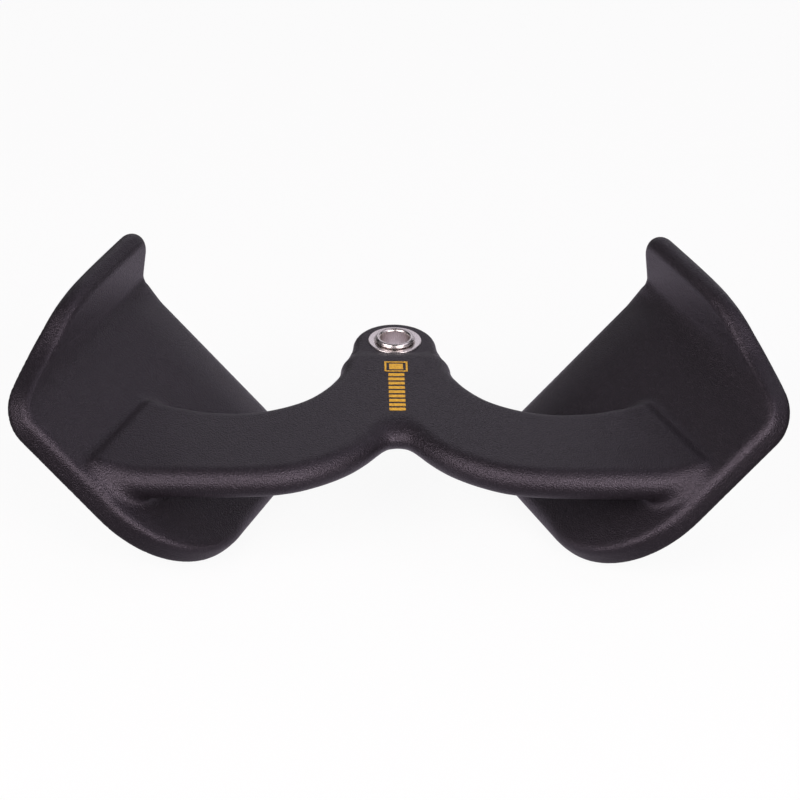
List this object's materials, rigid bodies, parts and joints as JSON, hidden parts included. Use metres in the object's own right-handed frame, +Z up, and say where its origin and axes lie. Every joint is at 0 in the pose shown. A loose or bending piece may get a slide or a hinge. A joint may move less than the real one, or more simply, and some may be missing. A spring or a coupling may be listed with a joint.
{
  "type": "palm-grip cable handle",
  "caption": "Palm-grip cable handle: angled palm plates with turned-up lips on a curved spine with a riveted steel eyelet, under a thick black rubber coat.",
  "frame": {"origin": "middle of the handle's length and depth, on the surface it lies on", "axes": "+X along the handle's length, +Y towards the eyelet, +Z up through the eyelet"},
  "size_m": [0.3514, 0.1604, 0.1099],
  "materials": {
    "moulded_rubber": "fine pebbled matt black, with a faint cool sheen",
    "mild_steel": "plain cut plate, hidden in the coat",
    "weld_metal": "plain weld bead, hidden in the coat",
    "polished_steel": "polished stainless steel"
  },
  "bodies": {
    "root": {"rubber_coat": "moulded_rubber", "spine_plate": "mild_steel", "right_palm_plate": "mild_steel", "left_palm_plate": "mild_steel", "right_upper_weld": "weld_metal", "right_lower_weld": "weld_metal", "left_upper_weld": "weld_metal", "left_lower_weld": "weld_metal", "eyelet_barrel": "polished_steel", "eyelet_washer_top": "polished_steel", "eyelet_washer_bottom": "polished_steel"}
  },
  "joints": []
}
